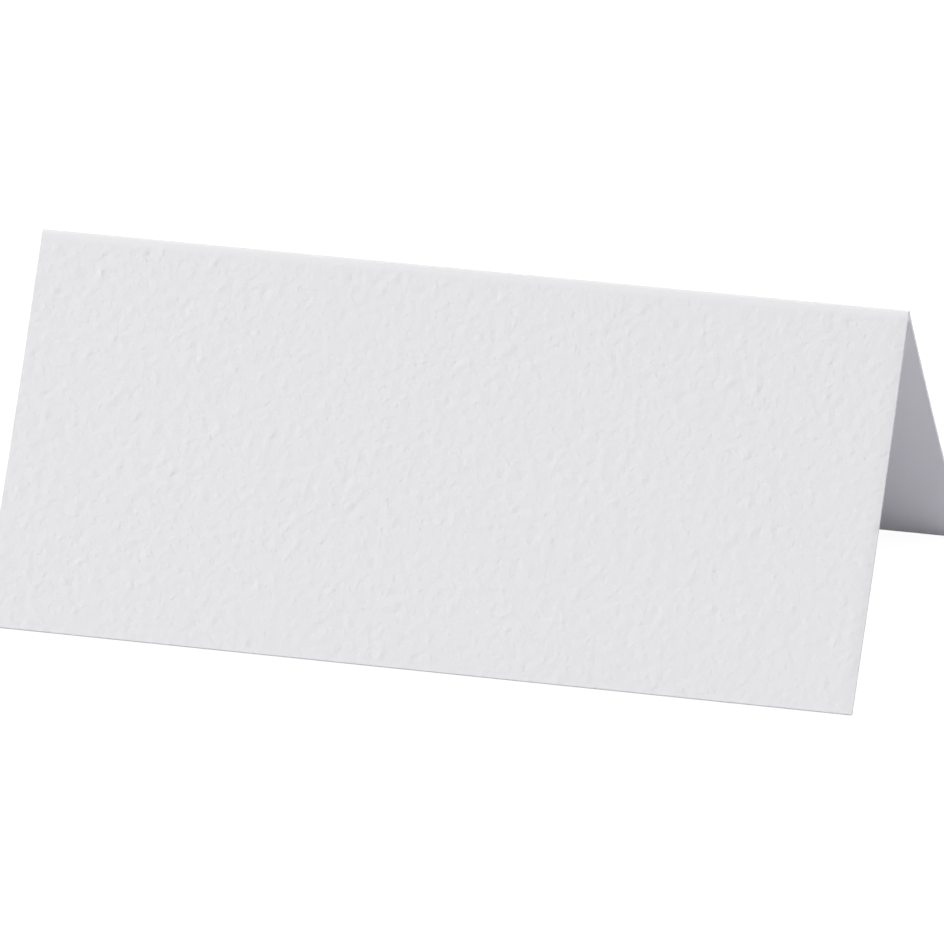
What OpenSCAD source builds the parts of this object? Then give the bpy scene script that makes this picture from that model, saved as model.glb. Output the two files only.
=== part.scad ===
// A place card: one piece of white card stock, scored across its middle and folded into a tent
// that stands on the two cut edges of its leaves.
// Units are millimetres. X runs along the fold, the front leaf is towards -Y and the back leaf
// towards +Y, +Z is up, and the origin is on the table under the middle of the fold.

/* [Card] */
// Width of the card, along the fold
card_w = 90; // [70:1:110]
// Length of each leaf, measured down its outer face from the sharp fold line to the cut edge
leaf_l = 41.4; // [30:0.2:60]
// Thickness of the card stock
stock_t = 0.45; // [0.25:0.05:0.6]

/* [Stance] */
// Angle between the two leaves, from cut edge to fold to cut edge
opening = 68.6; // [50:0.2:90]
// How far each leaf curves in at its middle, from a straight line between fold and cut edge
leaf_bow = 0.3; // [0.1:0.05:1.5]
// Width of the narrow flat that the card's own weight presses on each standing arris
foot_flat = 0.1; // [0.05:0.01:0.2]

/* [Fold] */
// Radius on the inside of the bend
fold_inner_r = 0.05; // [0.02:0.01:0.15]
// Radius of the ridge that scoring raises along the inside of the bend
ridge_r = 0.3; // [0.24:0.02:0.5]
// Angle, at the ridge's centre, from square to the leaf down to where the ridge meets it
ridge_meet = 35; // [20:1:45]

/* [Hidden] */
card_white = [0.905, 0.905, 0.915];
leaf_steps = 12;
fold_steps = 12;
ridge_steps = 12;

// Both faces of a leaf are arcs about one centre that lies outside the tent. A point of the leaf
// is named by its depth below the outer face and by its lean, the angle from upright there.
bow_r = (pow(leaf_l / 2, 2) + pow(leaf_bow, 2)) / (2 * leaf_bow);
bow_turn = asin(leaf_l / 2 / bow_r);
foot_lean = opening / 2 + bow_turn;

// The inner arris of the foot is trimmed level, so the bow's centre hangs that much lower.
foot_trim = foot_flat * sin(foot_lean) * cos(foot_lean);
bow_y = -leaf_l / 2 * sin(opening / 2) - (bow_r - leaf_bow) * cos(opening / 2);
bow_z = (bow_r + stock_t) * sin(foot_lean) - foot_trim;

// Lean at which a face of this depth comes down to the table
function lean_on_table(depth) = asin(bow_z / (bow_r + depth));
// Height on the tent's mid plane of a point at this depth, and the leaf's lean beside it
function mid_height(depth) = bow_z - sqrt(pow(bow_r + depth, 2) - pow(bow_y, 2));
function mid_lean(depth) = acos(-bow_y / (bow_r + depth));

// The bend is round about a point on the mid plane, and the score's ridge about a lower one.
fold_r = fold_inner_r + stock_t;
fold_z = mid_height(fold_r);
fold_lean = mid_lean(fold_r);
ridge_depth = stock_t + ridge_r * cos(ridge_meet);
ridge_z = mid_height(ridge_depth);
ridge_lean = mid_lean(ridge_depth);
ridge_foot_lean = ridge_lean + ridge_r * sin(ridge_meet) / bow_r * 180 / PI;

// A list from one value to another in equal steps, both ends included
function steps(from, to, count) = [for (i = [0:count]) from + (to - from) * i / count];

// Point of the front leaf at a depth below its outer face, where the leaf has this lean
function leaf_point(depth, lean) =
    [bow_y, bow_z] + (bow_r + depth) * [cos(lean), -sin(lean)];

// Points round a centre on the mid plane, from one angle to another
function arc(height, radius, from, to, count) =
    [for (a = steps(from, to, count)) [radius * cos(a), height + radius * sin(a)]];

// The same points on the back leaf, in the order that carries on round the outline
function mirrored(points) =
    [for (i = [len(points) - 1:-1:0]) [-points[i][0], points[i][1]]];

// Outside of the front leaf, from the cut edge up to the bend
front_outside = [for (a = steps(foot_lean, fold_lean, leaf_steps)) leaf_point(0, a)];

// Inside of the front leaf, from the ridge down to the level flat and across it
flat_start = leaf_point(stock_t, lean_on_table(stock_t));
front_inside = concat(
    [for (a = steps(ridge_foot_lean, lean_on_table(stock_t), leaf_steps)) leaf_point(stock_t, a)],
    [flat_start - [foot_flat, 0]]
);

// Over the top of the bend from front to back, and round under the ridge from back to front
bend_top = arc(fold_z, fold_r, 180 - fold_lean, fold_lean, fold_steps);
ridge_under = arc(ridge_z, ridge_r, 360 + ridge_lean - ridge_meet,
                  180 - ridge_lean + ridge_meet, ridge_steps);

// Cross-section of the folded card, with Y to the right and Z up
module section() {
    polygon(concat(
        front_outside,
        [for (i = [1:fold_steps - 1]) bend_top[i]],
        mirrored(front_outside),
        mirrored(front_inside),
        [for (i = [1:ridge_steps - 1]) ridge_under[i]],
        front_inside
    ));
}

// The whole card: its section drawn out along the fold
module folded_card() {
    color(card_white)
        rotate([90, 0, 90])
            linear_extrude(card_w, center = true)
                section();
}

folded_card();
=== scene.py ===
# A blank place card: one sheet of white card stock, hammered on its outer faces, scored across
# its middle and folded into a tent that stands on the two cut edges of its leaves.
# Everything is in metres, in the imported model's own frame: X runs along the fold, the front leaf
# is towards -Y, +Z is up, and the origin is on the table under the middle of the fold.

import math

import bpy
import numpy as np
from bpy.props import FloatProperty, FloatVectorProperty, IntProperty, PointerProperty
from bpy.types import Operator, Panel, PropertyGroup
from mathutils import Matrix, Vector


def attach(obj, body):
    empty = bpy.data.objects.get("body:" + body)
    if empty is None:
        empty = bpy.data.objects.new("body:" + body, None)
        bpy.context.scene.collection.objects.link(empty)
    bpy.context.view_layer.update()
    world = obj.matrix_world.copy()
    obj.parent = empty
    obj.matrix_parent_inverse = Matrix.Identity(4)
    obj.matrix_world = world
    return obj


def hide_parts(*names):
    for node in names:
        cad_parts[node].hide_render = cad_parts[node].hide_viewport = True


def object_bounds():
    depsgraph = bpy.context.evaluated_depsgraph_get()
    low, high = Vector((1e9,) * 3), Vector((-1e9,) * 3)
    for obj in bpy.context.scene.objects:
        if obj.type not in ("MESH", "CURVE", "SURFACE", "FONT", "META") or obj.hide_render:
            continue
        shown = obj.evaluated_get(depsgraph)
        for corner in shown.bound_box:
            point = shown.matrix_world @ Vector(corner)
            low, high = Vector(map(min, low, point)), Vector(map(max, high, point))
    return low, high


bl_info = {
    "name": "Folded place card",
    "version": (1, 0, 0),
    "blender": (4, 5, 0),
    "location": "View3D > Sidebar > Place card",
    "description": "Folds a blank, hammered place card and sets it on a pale floor",
    "category": "Add Mesh",
}

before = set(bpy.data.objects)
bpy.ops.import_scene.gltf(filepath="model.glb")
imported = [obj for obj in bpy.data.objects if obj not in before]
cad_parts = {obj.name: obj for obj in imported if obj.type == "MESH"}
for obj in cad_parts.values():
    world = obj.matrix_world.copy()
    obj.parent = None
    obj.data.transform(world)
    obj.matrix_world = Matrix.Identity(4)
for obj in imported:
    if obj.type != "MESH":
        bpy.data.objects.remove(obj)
CAD_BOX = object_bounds()
MM = 0.001
CARD_NODE = "folded_card"
CARD_PIECE = "hammered_card"
SHEET_MAP = "flat_sheet"

# The sheet map shows this much of the unfolded card, so that both leaves fit between 0 and 1
SHEET_SPAN = 100 * MM

# Points nearer than this to a surface lie on it
TOUCH = 0.01 * MM

# Straight steps in the section's arcs, apart from the outer faces'
BEND_STEPS = 12
INNER_STEPS = 4
RIDGE_STEPS = 8

# Cells of the relief's random fields to one length of the grain, and spare cells at their ends
CELLS_TO_GRAIN = 4
SPARE_CELLS = 12

# A noise node's values stray from 0.5 by about an eighth, so this brings their spread to about 1
NOISE_GAIN = 8

# Places of the finishes in the card's material slots
HAMMERED, SMOOTH, CUT = range(3)

# Faces that meet at less than this are shaded as one surface
SMOOTH_ANGLE = math.radians(34)

WHITE = (1, 1, 1, 1)
SHADOW_GREY = (0.2, 0.2, 0.2, 1)
FLOOR_SIZE = 6.0
CAMERA_AIM = Vector((-0.3, 0, 11.982)) * MM
SENSOR_WIDTH = 36


class CardSizes(PropertyGroup):
    """Sizes of the card and of the tent it is folded into."""

    width: FloatProperty(
        name="Width", description="Width of the card, along the fold",
        default=CAD_BOX[1].x - CAD_BOX[0].x, unit="LENGTH")
    leaf_length: FloatProperty(
        name="Leaf length",
        description="From the sharp fold line down the outer face to the cut edge",
        default=41.4 * MM, unit="LENGTH")
    stock: FloatProperty(
        name="Stock", description="Thickness of the card stock", default=0.45 * MM, unit="LENGTH")
    opening: FloatProperty(
        name="Opening", description="Angle between the two leaves",
        default=math.radians(68.6), subtype="ANGLE", unit="ROTATION")
    leaf_bow: FloatProperty(
        name="Leaf bow", description="How far each leaf curves in at its middle",
        default=0.3 * MM, unit="LENGTH")
    foot_flat: FloatProperty(
        name="Foot flat", description="Width of the flat on which each leaf stands",
        default=0.1 * MM, unit="LENGTH")
    fold_inner_radius: FloatProperty(
        name="Fold radius", description="Radius on the inside of the bend",
        default=0.05 * MM, unit="LENGTH")
    ridge_radius: FloatProperty(
        name="Ridge radius", description="Radius of the ridge that scoring raises inside the bend",
        default=0.3 * MM, unit="LENGTH")
    ridge_meet: FloatProperty(
        name="Ridge meeting angle",
        description="From square to the leaf to where the ridge meets it",
        default=math.radians(35), subtype="ANGLE", unit="ROTATION")
    columns: IntProperty(
        name="Columns", description="Strips that the card's width is divided into", default=306)
    leaf_rows: IntProperty(
        name="Leaf rows", description="Strips that each outer face is divided into", default=142)


class HammerFinish(PropertyGroup):
    """A roller's relief on the outer faces, and what the score and the blade take from it."""

    relief: FloatProperty(
        name="Relief", description="Usual height of the relief above or below its middle",
        default=0.0135 * MM, unit="LENGTH")
    grain: FloatProperty(
        name="Grain", description="Distance over which the relief rises or falls, across the leaf",
        default=0.38 * MM, unit="LENGTH")
    stretch: FloatProperty(
        name="Stretch", description="How much longer the relief's lumps are than they are wide",
        default=1.1)
    slant: FloatProperty(
        name="Slant", description="How far the lumps' long way leans from square to the fold",
        default=math.radians(32), subtype="ANGLE", unit="ROTATION")
    peak: FloatProperty(
        name="Peak", description="How much sharper the relief's tops are than its hollows",
        default=0.25)
    patch: FloatProperty(
        name="Patch", description="Distance over which the relief gets stronger or weaker",
        default=0.6 * MM, unit="LENGTH")
    lean: FloatProperty(
        name="Lean", description="How far the relief's tops lean to the right, which steepens "
        "their right flanks", default=0.05 * MM, unit="LENGTH")
    tooth: FloatProperty(
        name="Tooth", description="Usual height of the finer relief that only the finish holds",
        default=0.007 * MM, unit="LENGTH")
    fold_strip: FloatProperty(
        name="Fold strip", description="Width that the score rubs smooth on each side of the fold",
        default=0.8 * MM, unit="LENGTH")
    roll: FloatProperty(
        name="Roll",
        description="How far the blade has pressed the outer faces in at the right end",
        default=0.1 * MM, unit="LENGTH")
    roll_strip: FloatProperty(
        name="Roll strip", description="Width of the strip that is pressed in",
        default=1.5 * MM, unit="LENGTH")
    seed: IntProperty(name="Seed", description="Seed of the relief", default=11)


class CardColours(PropertyGroup):
    """Colours of the card stock."""

    face: FloatVectorProperty(
        name="Face", description="Colour of the hammered and of the smooth face",
        default=(0.797, 0.798, 0.8), size=3, subtype="COLOR")
    # The cut edge's grey is partly the bare fibres' own colour and partly painted shade, darker
    # than the fibres alone would be
    cut: FloatVectorProperty(
        name="Cut edge", description="Colour of the bare fibres at a cut edge",
        default=(0.565, 0.565, 0.577), size=3, subtype="COLOR")


class StudioSettings(PropertyGroup):
    """Light, floor and camera."""

    sky: FloatProperty(
        name="Sky", description="Level of the even light from all round", default=0.275)
    key: FloatProperty(
        name="Key", description="Level of the low soft light from the left", default=0.78)
    top: FloatProperty(
        name="Top", description="Level of the soft light from above", default=0.48)
    rim: FloatProperty(
        name="Rim", description="Level of the low soft light from behind", default=0.27)
    side: FloatProperty(
        name="Side", description="Level of the low soft light that shines into the right end",
        default=0.46)
    floor_bounce: FloatVectorProperty(
        name="Floor bounce", description="Colour of the light that the floor throws back",
        default=(0.79, 0.775, 0.855), size=3, subtype="COLOR")
    floor_glow: FloatProperty(
        name="Floor glow", description="How white the floor shows where nothing lights it",
        default=0.93)
    turn: FloatProperty(
        name="Camera turn", description="Camera's angle round the card, from straight in front",
        default=math.radians(16.015), subtype="ANGLE", unit="ROTATION")
    height: FloatProperty(
        name="Camera elevation", description="Camera's angle above the table",
        default=math.radians(22.892), subtype="ANGLE", unit="ROTATION")
    roll: FloatProperty(
        name="Camera roll", description="Camera's lean to one side",
        default=math.radians(-0.736), subtype="ANGLE", unit="ROTATION")
    distance: FloatProperty(
        name="Camera distance", description="From the point that the camera looks at",
        default=1319.32 * MM, unit="LENGTH")
    lens: FloatProperty(
        name="Lens", description="Focal length in millimetres", default=499.47)


class TentSection:
    """The card's cross-section: where its arcs have their centres, and how far they turn."""

    def __init__(self, card):
        half, lean = card.leaf_length / 2, card.opening / 2
        self.bow_radius = (half ** 2 + card.leaf_bow ** 2) / (2 * card.leaf_bow)
        self.foot_lean = lean + math.asin(half / self.bow_radius)
        foot_trim = card.foot_flat * math.sin(self.foot_lean) * math.cos(self.foot_lean)
        self.bow_y = -half * math.sin(lean) - (self.bow_radius - card.leaf_bow) * math.cos(lean)
        self.bow_z = (self.bow_radius + card.stock) * math.sin(self.foot_lean) - foot_trim

        self.fold_radius = card.fold_inner_radius + card.stock
        self.fold_z = self.mid_height(self.fold_radius)
        self.fold_lean = self.mid_lean(self.fold_radius)
        ridge_depth = card.stock + card.ridge_radius * math.cos(card.ridge_meet)
        ridge_lean = self.mid_lean(ridge_depth)
        self.ridge_z = self.mid_height(ridge_depth)
        self.ridge_turn = math.pi + 2 * (ridge_lean - card.ridge_meet)
        ridge_reach = card.ridge_radius * math.sin(card.ridge_meet) / self.bow_radius
        inner_lean = math.asin(self.bow_z / (self.bow_radius + card.stock))
        self.inner_turn = inner_lean - ridge_lean - ridge_reach

        self.foot = self.leaf_point(0, self.foot_lean)
        self.flat_inner = self.leaf_point(card.stock, inner_lean)
        self.flat_outer = self.flat_inner - Vector((card.foot_flat, 0))
        self.half_bend = self.fold_radius * (math.pi / 2 - self.fold_lean)

    def mid_height(self, depth):
        """Height on the tent's mid plane of a point at this depth below the outer face."""
        return self.bow_z - math.sqrt((self.bow_radius + depth) ** 2 - self.bow_y ** 2)

    def mid_lean(self, depth):
        """The leaf's lean from upright beside that point."""
        return math.acos(-self.bow_y / (self.bow_radius + depth))

    def leaf_point(self, depth, lean):
        """Y and Z of a point of the front leaf."""
        reach = self.bow_radius + depth
        return Vector((self.bow_y + reach * math.cos(lean), self.bow_z - reach * math.sin(lean)))

    def depth_of(self, y, z):
        """How deep points lie below the outer face of a leaf, front or back."""
        return np.hypot(-np.abs(y) - self.bow_y, z - self.bow_z) - self.bow_radius

    def along_sheet(self, y, z):
        """Distance of points from the middle of the fold, as on the unfolded sheet."""
        side = np.where(y < 0, -1.0, 1.0)
        lean = np.arctan2(self.bow_z - z, -np.abs(y) - self.bow_y)
        leaf = self.half_bend + self.bow_radius * (lean - self.fold_lean)
        bend = self.fold_radius * np.arctan2(np.abs(y), z - self.fold_z)
        slack = 1e-5
        on_bend = (z > self.fold_z) & (lean < self.fold_lean + slack)
        return side * np.where(on_bend, bend, leaf)


# Making shapes by hand


def deselect_everything():
    """Leaves object mode with nothing selected, because an operator acts on all that is."""
    if bpy.context.object and bpy.context.object.mode != "OBJECT":
        bpy.ops.object.mode_set(mode="OBJECT")
    bpy.ops.object.select_all(action="DESELECT")


def start_from_point(name, place):
    """Adds a plane, draws it together into one point at this place and stays in edit mode."""
    deselect_everything()
    bpy.ops.mesh.primitive_plane_add(size=1 * MM, location=place)
    piece = bpy.context.object
    piece.name = piece.data.name = name
    bpy.ops.object.transform_apply(location=True, rotation=True, scale=True)
    bpy.ops.object.mode_set(mode="EDIT")
    bpy.ops.mesh.select_all(action="SELECT")
    bpy.ops.mesh.merge(type="CENTER")
    return piece


def turn_about(x, y, z, angle, steps):
    """Spins the end of the line about a centre, anticlockwise as seen from +X."""
    bpy.ops.mesh.spin(steps=steps, angle=-angle, center=(x, y, z), axis=(1, 0, 0))


def draw_line(start, end):
    """Extrudes the end of the line straight from one point of the section to another."""
    bpy.ops.mesh.extrude_region_move(
        TRANSFORM_OT_translate={"value": (0, end.x - start.x, end.y - start.y)})


def draw_section(section, x, rows):
    """Draws the outline of the folded card's end, all the way round and closed."""
    mirror = Vector((-1, 1))
    piece = start_from_point(CARD_PIECE, (x, section.foot.x, section.foot.y))
    leaf_turn = section.foot_lean - section.fold_lean
    turn_about(x, section.bow_y, section.bow_z, leaf_turn, rows)
    turn_about(x, 0, section.fold_z, 2 * section.fold_lean - math.pi, BEND_STEPS)
    turn_about(x, -section.bow_y, section.bow_z, leaf_turn, rows)
    draw_line(section.foot * mirror, section.flat_outer * mirror)
    draw_line(section.flat_outer * mirror, section.flat_inner * mirror)
    turn_about(x, -section.bow_y, section.bow_z, -section.inner_turn, INNER_STEPS)
    turn_about(x, 0, section.ridge_z, -section.ridge_turn, RIDGE_STEPS)
    turn_about(x, section.bow_y, section.bow_z, -section.inner_turn, INNER_STEPS)
    draw_line(section.flat_inner, section.flat_outer)
    draw_line(section.flat_outer, section.foot)
    bpy.ops.mesh.select_all(action="SELECT")
    bpy.ops.mesh.remove_doubles(threshold=3 * TOUCH)
    return piece


def places_of(mesh):
    """The mesh's points as columns of X, Y and Z."""
    places = np.empty(len(mesh.vertices) * 3)
    mesh.vertices.foreach_get("co", places)
    return places.reshape(-1, 3).T


def soft_noise(dice, cells, pitch, along, across, slant=0.0):
    """A seamless random field that changes over these lengths, with mean 0 and spread 1."""
    up, right = [2 * math.pi * np.fft.fftfreq(count, pitch) for count in cells]
    up, right = up[:, None], right[None, :]
    squared = (along * (up * math.cos(slant) + right * math.sin(slant))) ** 2
    squared = squared + (across * (right * math.cos(slant) - up * math.sin(slant))) ** 2
    # Most of what changes over greater lengths than these is taken out
    wide_share = 0.85
    soft = np.exp(-squared / 4) * (1 - wide_share * np.exp(-squared))
    field = np.fft.ifft2(np.fft.fft2(dice.standard_normal(cells)) * soft).real
    return field / field.std()


def read_field(field, pitch, along, x):
    """The field's values between its cells, at points of the sheet."""
    rows, columns = along / pitch, x / pitch
    row, column = np.floor(rows).astype(int), np.floor(columns).astype(int)
    down, right = rows - row, columns - column
    height, width = field.shape
    row, column = row % height, column % width
    below, beside = (row + 1) % height, (column + 1) % width
    upper = field[row, column] * (1 - right) + field[row, beside] * right
    lower = field[below, column] * (1 - right) + field[below, beside] * right
    return upper * (1 - down) + lower * down


def hammer_heights(hammer, card, x, along):
    """Heights of the relief at points of the sheet, in metres above or below its middle."""
    dice = np.random.default_rng(hammer.seed)
    pitch = hammer.grain / CELLS_TO_GRAIN
    cells = tuple(int(size / pitch) + SPARE_CELLS for size in (2 * card.leaf_length, card.width))
    lumps = soft_noise(
        dice, cells, pitch, hammer.grain * hammer.stretch, hammer.grain, hammer.slant)
    patches = soft_noise(dice, cells, pitch, hammer.patch, hammer.patch)
    # Held within limits, so that no patch stands out
    contrast = 0.6
    strength = np.exp(contrast * np.clip(patches, -2.0, 1.7))
    middle = math.exp(hammer.peak ** 2 / 2)
    field = (np.exp(hammer.peak * lumps) - middle) / hammer.peak * strength
    leaning = read_field(field, pitch, along, x)
    return hammer.relief * read_field(field, pitch, along, x - hammer.lean * leaning)


def weigh(piece, name, members, weights):
    """Makes a vertex group with a weight for each of these points."""
    group = piece.vertex_groups.new(name=name)
    for member, weight in zip(members.tolist(), weights.tolist()):
        group.add((member,), weight, "REPLACE")


def move_outwards(piece, name, group, distance):
    """Moves the points of a group along their normals, each by its weight."""
    deselect_everything()
    bpy.context.view_layer.objects.active = piece
    piece.select_set(True)
    press = piece.modifiers.new(name, "DISPLACE")
    press.direction, press.mid_level = "NORMAL", 0
    press.vertex_group, press.strength = group, distance
    bpy.ops.object.modifier_apply(modifier=press.name)


def hammer_faces(piece, hammer, card, section):
    """Presses the relief into both outer faces, and rolls them in along the right end."""
    x, y, z = places_of(piece.data)
    on_leaf = np.abs(section.depth_of(y, z)) < TOUCH
    on_bend = np.abs(np.hypot(y, z - section.fold_z) - section.fold_radius) < TOUCH
    outside = np.flatnonzero(on_leaf | (on_bend & (z > section.fold_z)))
    x, along = x[outside], section.along_sheet(y[outside], z[outside])

    # The score has rubbed the relief away along the fold, and the blade has rolled the right end
    heights = hammer_heights(hammer, card, x, along)
    worn = np.clip((np.abs(along) - section.half_bend) / hammer.fold_strip, 0, 1)
    worn = worn ** 2 * (3 - 2 * worn)
    rolled = np.clip(1 - (card.width / 2 - x) / hammer.roll_strip, 0, 1)
    heights = (heights - hammer.roll * rolled ** 2) * worn

    lowest, highest = float(heights.min()), float(heights.max())
    weigh(piece, "outside", outside, np.ones(len(outside)))
    weigh(piece, "relief", outside, (heights - lowest) / (highest - lowest))
    move_outwards(piece, "Ground", "outside", lowest)
    move_outwards(piece, "Relief", "relief", highest - lowest)
    piece.vertex_groups.clear()


def close_ends(piece, half_width):
    """Closes both ends of the folded card with the faces that its cut edges show."""
    mesh = piece.data
    for end in (-half_width, half_width):
        deselect_everything()
        piece.select_set(True)
        bpy.ops.object.mode_set(mode="EDIT")
        bpy.ops.mesh.select_all(action="DESELECT")
        bpy.ops.object.mode_set(mode="OBJECT")
        at_end = np.abs(places_of(mesh)[0] - end) < TOUCH
        pairs = np.empty(len(mesh.edges) * 2, np.int32)
        mesh.edges.foreach_get("vertices", pairs)
        mesh.edges.foreach_set("select", at_end[pairs].reshape(-1, 2).all(1))
        bpy.ops.object.mode_set(mode="EDIT")
        bpy.ops.mesh.select_mode(type="EDGE")
        bpy.ops.mesh.edge_face_add()
        bpy.ops.object.mode_set(mode="OBJECT")
    bpy.ops.object.mode_set(mode="EDIT")
    bpy.ops.mesh.select_all(action="SELECT")
    bpy.ops.mesh.normals_make_consistent(inside=False)
    bpy.ops.mesh.select_all(action="DESELECT")
    bpy.ops.mesh.select_non_manifold()
    bpy.ops.object.mode_set(mode="OBJECT")
    if any(point.select for point in mesh.vertices):
        raise RuntimeError("the folded card is not closed all round")


def map_sheet(piece, section):
    """Lays the unfolded sheet out in a UV map, its middle in the middle."""
    mesh = piece.data
    x, y, z = places_of(mesh)
    flat = np.stack([x, section.along_sheet(y, z)], 1) / SHEET_SPAN + 0.5
    corners = np.empty(len(mesh.loops), np.int32)
    mesh.loops.foreach_get("vertex_index", corners)
    layer = mesh.uv_layers.new(name=SHEET_MAP)
    layer.uv.foreach_set("vector", flat[corners].astype(np.float32).ravel())


def give_finishes(piece, finishes):
    """Faces that look up get the hammered finish, the ends the cut one, the rest the smooth."""
    mesh = piece.data
    for finish in finishes:
        mesh.materials.append(finish)
    normals = np.empty(len(mesh.polygons) * 3)
    mesh.polygons.foreach_get("normal", normals)
    normals = normals.reshape(-1, 3)
    chosen = np.where(normals[:, 2] > 0, HAMMERED, SMOOTH)
    nearly_square = 0.9
    chosen[np.abs(normals[:, 0]) > nearly_square] = CUT
    mesh.polygons.foreach_set("material_index", chosen.astype(np.int32))


# Making materials


class Wire:
    """A socket in a node tree. Arithmetic on it adds Math nodes."""

    def __init__(self, recipe, socket):
        self.recipe, self.socket = recipe, socket

    def maths(self, operation, *values):
        """Adds a Math node."""
        return self.recipe.node(
            "ShaderNodeMath", {"operation": operation}, dict(enumerate(values)))

    def __add__(self, other):
        return self.maths("ADD", self, other)

    def __sub__(self, other):
        return self.maths("SUBTRACT", self, other)

    def __mul__(self, other):
        return self.maths("MULTIPLY", self, other)

    def __rsub__(self, other):
        return self.maths("SUBTRACT", other, self)

    def __abs__(self):
        return self.maths("ABSOLUTE", self)

    __radd__, __rmul__ = __add__, __mul__

    def clamped(self):
        """The same value, held between 0 and 1."""
        return self.recipe.node(
            "ShaderNodeMath", {"operation": "ADD", "use_clamp": True}, {0: self, 1: 0.0})


class Recipe:
    """The node tree of a material or of the world, emptied and ready for new nodes."""

    def __init__(self, owner):
        owner.use_nodes = True
        self.tree = owner.node_tree
        self.tree.nodes.clear()

    def node(self, kind, settings=None, sockets=None, out=0):
        """Adds a node: first its settings, then its sockets' values or links. Returns a wire."""
        made = self.tree.nodes.new(kind)
        for name, value in (settings or {}).items():
            setattr(made, name, value)
        for name, value in (sockets or {}).items():
            if isinstance(value, Wire):
                self.tree.links.new(value.socket, made.inputs[name])
            else:
                made.inputs[name].default_value = value
        return Wire(self, made.outputs[out]) if len(made.outputs) else made

    def vector(self, operation, first, second):
        """Adds a Vector Math node."""
        return self.node("ShaderNodeVectorMath", {"operation": operation}, {0: first, 1: second})

    def sheet_millimetres(self):
        """Coordinates on the unfolded sheet in millimetres, from its middle."""
        flat = self.node("ShaderNodeUVMap", {"uv_map": SHEET_MAP})
        span = SHEET_SPAN / MM
        return self.node(
            "ShaderNodeMapping", {"vector_type": "POINT"},
            {"Vector": flat, "Location": (-span / 2, -span / 2, 0), "Scale": (span, span, 1)})

    def ramp(self, value, low, high, start, end):
        """A smooth step from start to end, while the value goes from low to high."""
        return self.node(
            "ShaderNodeMapRange", {"interpolation_type": "SMOOTHSTEP"},
            {"Value": value, "From Min": low, "From Max": high, "To Min": start, "To Max": end})

    def leaning_grain(self, place, scale, detail, lean):
        """Soft noise about 0 whose tops lean to the right by this many millimetres."""
        first = self.grain(place, scale, detail)
        shift = self.node("ShaderNodeCombineXYZ", None, {"X": (0.5 - first) * (lean * NOISE_GAIN)})
        return self.grain(self.vector("ADD", place, shift), scale, detail) - 0.5

    def millimetres(self):
        """Coordinates of the object in millimetres."""
        place = self.node("ShaderNodeTexCoord", out="Object")
        return self.vector("MULTIPLY", place, (1 / MM, 1 / MM, 1 / MM))

    def grain(self, vector, scale, detail=2.0, roughness=0.5):
        """Soft noise from 0 to 1, with this many lumps to a millimetre."""
        return self.node(
            "ShaderNodeTexNoise", {"noise_dimensions": "3D"},
            {"Vector": vector, "Scale": scale, "Detail": detail, "Roughness": roughness})

    def blend(self, factor, first, second):
        """Mixes two colours."""
        return self.node(
            "ShaderNodeMix", {"data_type": "RGBA", "clamp_factor": True},
            {"Factor": factor, 6: (*first, 1), 7: (*second, 1)}, out=2)

    def paper(self, colour, roughness, height):
        """Finishes the material as matt paper. The relief's height is in millimetres."""
        relief = self.node(
            "ShaderNodeBump", None, {"Strength": 1.0, "Distance": MM, "Height": height})
        surface = self.node(
            "ShaderNodeBsdfPrincipled", None,
            {"Base Color": colour, "Roughness": roughness, "Normal": relief,
             "IOR": 1.45, "Specular IOR Level": 0.25, "Diffuse Roughness": 0.4})
        self.node("ShaderNodeOutputMaterial", None, {"Surface": surface})


def shade(colour, factor):
    """A colour made lighter or darker by a factor."""
    return tuple(channel * factor for channel in colour)


def hammered_face(colours, hammer, section):
    """The outer faces: a fine tooth over the pressed relief, rubbed off at the fold, with a painted
    highlight along the fold strip.
    """
    material = bpy.data.materials.new("card_hammered_face")
    recipe = Recipe(material)
    sheet = recipe.sheet_millimetres()
    along = recipe.node("ShaderNodeSeparateXYZ", None, {"Vector": sheet}, out="Y")
    bend, strip = section.half_bend / MM, hammer.fold_strip / MM
    pressed = recipe.ramp(abs(along), low=bend, high=bend + strip, start=0.0, end=1.0)
    strength = recipe.ramp(
        recipe.grain(sheet, scale=1.2, detail=1.0), low=0.3, high=0.7, start=0.3, end=2.0)
    tooth = recipe.leaning_grain(sheet, scale=1.5, detail=1.0, lean=hammer.lean / MM)
    fibre = recipe.grain(sheet, scale=6.0)
    height = tooth * strength * pressed * (hammer.tooth / MM * NOISE_GAIN) + fibre * 0.001
    cloud = recipe.grain(sheet, scale=0.12, detail=3.0)
    mottle = (cloud * 0.6 + fibre * 0.4) * 0.28
    # Painted highlight: the colour is lighter along the smooth strip by the fold, standing in for
    # the light that falls on it more than on the hammered face
    painted_fold_highlight = (1 - pressed) * 0.4
    colour = recipe.blend(
        mottle + painted_fold_highlight, shade(colours.face, 0.988), shade(colours.face, 1.06))
    recipe.paper(colour, 0.82 + 0.1 * fibre, height)
    return material


def smooth_face(colours):
    """The inner faces and the foot: the smooth side of the same paper, faintly clouded."""
    material = bpy.data.materials.new("card_smooth_face")
    recipe = Recipe(material)
    sheet = recipe.sheet_millimetres()
    cloud = recipe.grain(sheet, scale=0.15, detail=3.0)
    fibre = recipe.grain(sheet, scale=4.0, detail=3.0)
    colour = recipe.blend(cloud, shade(colours.face, 0.985), shade(colours.face, 1.01))
    recipe.paper(colour, 0.8 + 0.1 * fibre, fibre * 0.004)
    return material


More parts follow.
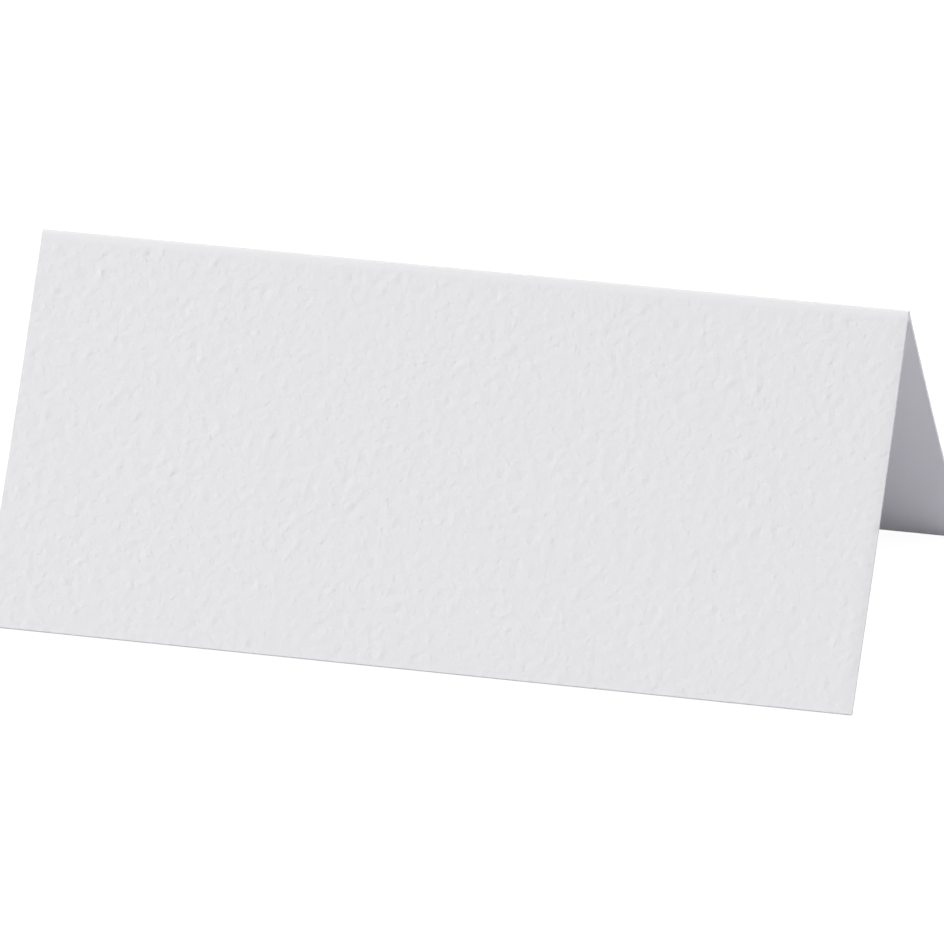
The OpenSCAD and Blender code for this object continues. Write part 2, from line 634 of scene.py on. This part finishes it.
def cut_edge(colours):
    """The cut edges of the two ends: bare, felted fibres, in a grey that is partly their own colour
    and partly painted shade.
    """
    material = bpy.data.materials.new("card_cut_edge_fibres_and_painted_shade")
    recipe = Recipe(material)
    place = recipe.millimetres()
    fibre = recipe.grain(place, scale=9.0, detail=3.0, roughness=0.6)
    nap = recipe.grain(place, scale=2.5)
    # The cut colour here is partly the fibres' own grey and partly painted shade on the ends
    colour = recipe.blend(
        fibre * 0.7 + nap * 0.3, shade(colours.cut, 0.9), shade(colours.cut, 1.06))
    recipe.paper(colour, 0.92, fibre * 0.009 + nap * 0.006)
    return material


class PLACECARD_OT_fold_card(Operator):
    """Draw the card's section, draw it out along the fold and hammer its outer faces"""

    bl_idname = "place_card.fold_card"
    bl_label = "Fold the card"
    bl_options = {"REGISTER", "UNDO"}

    def execute(self, context):
        card, hammer = context.scene.card_sizes, context.scene.hammer_finish
        section = TentSection(card)
        half_width = card.width / 2
        piece = draw_section(section, -half_width, card.leaf_rows)
        bpy.ops.mesh.extrude_repeat(steps=card.columns, offset=(card.width / card.columns, 0, 0))
        bpy.ops.mesh.select_all(action="SELECT")
        bpy.ops.mesh.normals_make_consistent(inside=False)
        bpy.ops.object.mode_set(mode="OBJECT")

        map_sheet(piece, section)
        hammer_faces(piece, hammer, card, section)
        close_ends(piece, half_width)
        colours = context.scene.card_colours
        finishes = (
            hammered_face(colours, hammer, section), smooth_face(colours), cut_edge(colours))
        give_finishes(piece, finishes)
        deselect_everything()
        piece.select_set(True)
        context.view_layer.objects.active = piece
        bpy.ops.object.shade_smooth_by_angle(angle=SMOOTH_ANGLE)

        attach(piece, "root")
        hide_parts(CARD_NODE)
        return {"FINISHED"}


def white_background(recipe, lit, white):
    """Shows the eye, mirrors and glass the white shader, and everything else the lit one."""
    path = recipe.node("ShaderNodeLightPath", out="Is Camera Ray")
    ends = path.socket.node.outputs
    seen = path + Wire(recipe, ends["Is Glossy Ray"]) + Wire(recipe, ends["Is Transmission Ray"])
    return recipe.node("ShaderNodeMixShader", None, {"Fac": seen.clamped(), 1: lit, 2: white})


def floor_paint(studio):
    """A floor that shows white with the card's faint shadow, and is clear from below."""
    material = bpy.data.materials.new("floor_white")
    recipe = Recipe(material)
    lit = recipe.node(
        "ShaderNodeBsdfDiffuse", None, {"Color": (*studio.floor_bounce, 1)})
    glow = recipe.node(
        "ShaderNodeEmission", None, {"Color": WHITE, "Strength": studio.floor_glow})
    shadow = recipe.node("ShaderNodeBsdfDiffuse", None, {"Color": SHADOW_GREY})
    white = recipe.node("ShaderNodeAddShader", None, {0: glow, 1: shadow})
    above = white_background(recipe, lit, white)
    clear = recipe.node("ShaderNodeBsdfTransparent")
    below = recipe.node("ShaderNodeNewGeometry", out="Backfacing")
    surface = recipe.node("ShaderNodeMixShader", None, {"Fac": below, 1: above, 2: clear})
    recipe.node("ShaderNodeOutputMaterial", None, {"Surface": surface})
    return material


def add_floor(studio):
    """A wide plain floor just under the card's feet, cut from a plane with its corners rounded."""
    deselect_everything()
    bpy.ops.mesh.primitive_plane_add(size=FLOOR_SIZE, location=(0, 0, 0))
    floor = bpy.context.object
    floor.name = floor.data.name = "floor"
    bpy.ops.object.mode_set(mode="EDIT")
    bpy.ops.mesh.select_all(action="SELECT")
    bpy.ops.mesh.bevel(offset=FLOOR_SIZE / 4, segments=12, affect="VERTICES")
    bpy.ops.transform.translate(value=(0, 0, -TOUCH))
    bpy.ops.object.mode_set(mode="OBJECT")
    floor.data.materials.append(floor_paint(studio))


def light_sky(studio):
    """An even light from all round, which the camera sees as plain white."""
    world = bpy.data.worlds.new("white_room")
    bpy.context.scene.world = world
    recipe = Recipe(world)
    lit = recipe.node("ShaderNodeBackground", None, {"Color": WHITE, "Strength": studio.sky})
    white = recipe.node("ShaderNodeBackground", None, {"Color": WHITE, "Strength": 1.0})
    recipe.node(
        "ShaderNodeOutputWorld", None, {"Surface": white_background(recipe, lit, white)})


def add_soft_light(name, turn, height, distance, size, level):
    """A square soft light that looks at the card. A level of 1 lights a facing white face fully."""
    turn, height = math.radians(turn), math.radians(height)
    away = Vector((math.sin(turn) * math.cos(height), -math.cos(turn) * math.cos(height),
                   math.sin(height)))
    deselect_everything()
    bpy.ops.object.light_add(type="AREA", location=away * distance)
    lamp = bpy.context.object
    lamp.name = lamp.data.name = name
    lamp.rotation_euler = away.to_track_quat("Z", "Y").to_euler()
    lamp.data.size = size
    lamp.data.energy = level * math.pi ** 2 * distance ** 2


def add_camera(studio):
    """A camera in the photograph's place."""
    back = Vector((math.sin(studio.turn) * math.cos(studio.height),
                   -math.cos(studio.turn) * math.cos(studio.height), math.sin(studio.height)))
    right = Vector((0, 0, 1)).cross(back).normalized()
    up = back.cross(right)
    sine, cosine = math.sin(studio.roll), math.cos(studio.roll)
    axes = (right * cosine + up * sine, up * cosine - right * sine, back)
    deselect_everything()
    bpy.ops.object.camera_add()
    camera = bpy.context.object
    camera.name = camera.data.name = "camera"
    place = Matrix.Translation(CAMERA_AIM + back * studio.distance)
    camera.matrix_world = place @ Matrix(axes).transposed().to_4x4()
    camera.data.lens, camera.data.sensor_width = studio.lens, SENSOR_WIDTH
    camera.data.clip_start, camera.data.clip_end = 0.05, 20
    bpy.context.scene.camera = camera


class PLACECARD_OT_set_studio(Operator):
    """Lay the white floor, light the card softly and place the camera"""

    bl_idname = "place_card.set_studio"
    bl_label = "Set the studio"
    bl_options = {"REGISTER", "UNDO"}

    def execute(self, context):
        studio = context.scene.studio_settings
        add_floor(studio)
        light_sky(studio)
        add_soft_light(
            "key_light", turn=-61, height=17, distance=2.4, size=1.2, level=studio.key)
        add_soft_light("top_light", turn=0, height=89, distance=2.0, size=1.2, level=studio.top)
        add_soft_light(
            "rim_light", turn=145, height=20, distance=1.4, size=0.7, level=studio.rim)
        add_soft_light(
            "side_light", turn=110, height=20, distance=1.4, size=0.7, level=studio.side)
        add_camera(studio)
        context.scene.view_settings.view_transform = "Standard"
        return {"FINISHED"}


class PLACECARD_PT_sidebar(Panel):
    """Lists the card's sizes and finish, and what makes them"""

    bl_idname = "PLACECARD_PT_sidebar"
    bl_label = "Place card"
    bl_space_type = "VIEW_3D"
    bl_region_type = "UI"
    bl_category = "Place card"

    def draw(self, context):
        for heading, group in (
            ("Card", context.scene.card_sizes),
            ("Hammered finish", context.scene.hammer_finish),
            ("Colours", context.scene.card_colours),
        ):
            box = self.layout.box()
            box.label(text=heading)
            for name in group.__annotations__:
                box.prop(group, name)
        self.layout.operator(PLACECARD_OT_fold_card.bl_idname)
        box = self.layout.box()
        box.label(text="Studio")
        for name in StudioSettings.__annotations__:
            box.prop(context.scene.studio_settings, name)
        self.layout.operator(PLACECARD_OT_set_studio.bl_idname)


CLASSES = (
    CardSizes,
    HammerFinish,
    CardColours,
    StudioSettings,
    PLACECARD_OT_fold_card,
    PLACECARD_OT_set_studio,
    PLACECARD_PT_sidebar,
)
SETTINGS = {
    "card_sizes": CardSizes,
    "hammer_finish": HammerFinish,
    "card_colours": CardColours,
    "studio_settings": StudioSettings,
}


def register():
    """Registers the classes and hangs their settings on the scene."""
    for kind in CLASSES:
        bpy.utils.register_class(kind)
    for name, kind in SETTINGS.items():
        setattr(bpy.types.Scene, name, PointerProperty(type=kind))


def unregister():
    """Takes the settings and the classes away again."""
    for name in reversed(SETTINGS):
        delattr(bpy.types.Scene, name)
    for kind in reversed(CLASSES):
        bpy.utils.unregister_class(kind)


def main():
    """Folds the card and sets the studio."""
    register()
    bpy.ops.place_card.fold_card()
    bpy.ops.place_card.set_studio()


if __name__ == "__main__":
    main()
